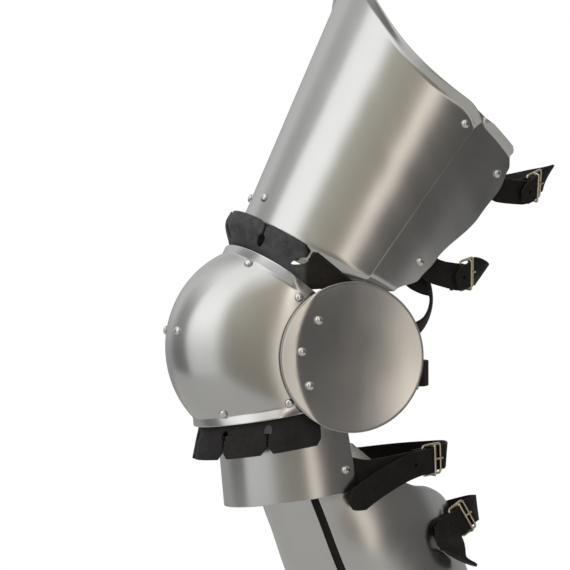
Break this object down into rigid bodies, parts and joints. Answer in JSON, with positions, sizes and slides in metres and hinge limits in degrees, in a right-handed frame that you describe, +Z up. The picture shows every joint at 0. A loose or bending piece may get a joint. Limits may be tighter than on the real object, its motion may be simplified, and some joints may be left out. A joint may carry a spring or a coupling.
{
  "type": "leg harness with greave",
  "caption": "Plate armour for a left leg: thigh plate with a hinged side plate, domed knee with a round side disc, lame and greave, joined by dagged leathers and buckled straps.",
  "frame": {"origin": "centre of the knee, where the leg sits in the knee dome", "axes": "+Z up, +X to the outer side of the left leg, +Y to the back, with the knee bent as worn"},
  "size_m": [0.1807, 0.3756, 0.7739],
  "materials": {
    "steel": "satin, hand-polished",
    "rivet": "polished",
    "leather": "dark, worn at its folds",
    "brass": "pale, polished"
  },
  "bodies": {
    "root": {"centre_leather": "leather", "cuisse_plate": "steel", "cuisse_rivet_inner": "rivet", "cuisse_rivet_outer": "rivet", "cuisse_side_plate": "steel", "greave_calf_inner": "steel", "greave_calf_outer": "steel", "greave_front_plate": "steel", "greave_hinge_inner": "leather", "greave_hinge_outer": "leather", "greave_lower_buckle": "brass", "greave_lower_holder": "leather", "greave_lower_strap": "leather", "greave_lower_tongue": "brass", "greave_upper_buckle": "brass", "greave_upper_holder": "leather", "greave_upper_strap": "leather", "greave_upper_tongue": "brass", "knee_buckle": "brass", "knee_holder": "leather", "knee_strap": "leather", "knee_tongue": "brass", "lame_buckle": "brass", "lame_holder": "leather", "lame_rivet_inner": "rivet", "lame_rivet_outer": "rivet", "lame_strap": "leather", "lame_tongue": "brass", "lower_dagged_band": "leather", "lower_lame": "steel", "lower_thigh_buckle": "brass", "lower_thigh_holder": "leather", "lower_thigh_strap": "leather", "lower_thigh_tongue": "brass", "poleyn": "steel", "poleyn_rivet_inner": "rivet", "poleyn_rivet_lower_inner": "rivet", "poleyn_rivet_lower_outer_front": "rivet", "poleyn_rivet_lower_outer_side": "rivet", "poleyn_rivet_outer": "rivet", "poleyn_rivet_upper_inner": "rivet", "poleyn_rivet_upper_outer_front": "rivet", "poleyn_rivet_upper_outer_side": "rivet", "rondel": "steel", "rondel_rivet_1": "rivet", "rondel_rivet_2": "rivet", "rondel_rivet_3": "rivet", "seam_rivet": "rivet", "side_leather": "leather", "side_plate_rivet_lower": "rivet", "side_plate_rivet_upper": "rivet", "upper_dagged_band": "leather", "upper_thigh_buckle": "brass", "upper_thigh_holder": "leather", "upper_thigh_strap": "leather", "upper_thigh_tongue": "brass"}
  },
  "joints": []
}
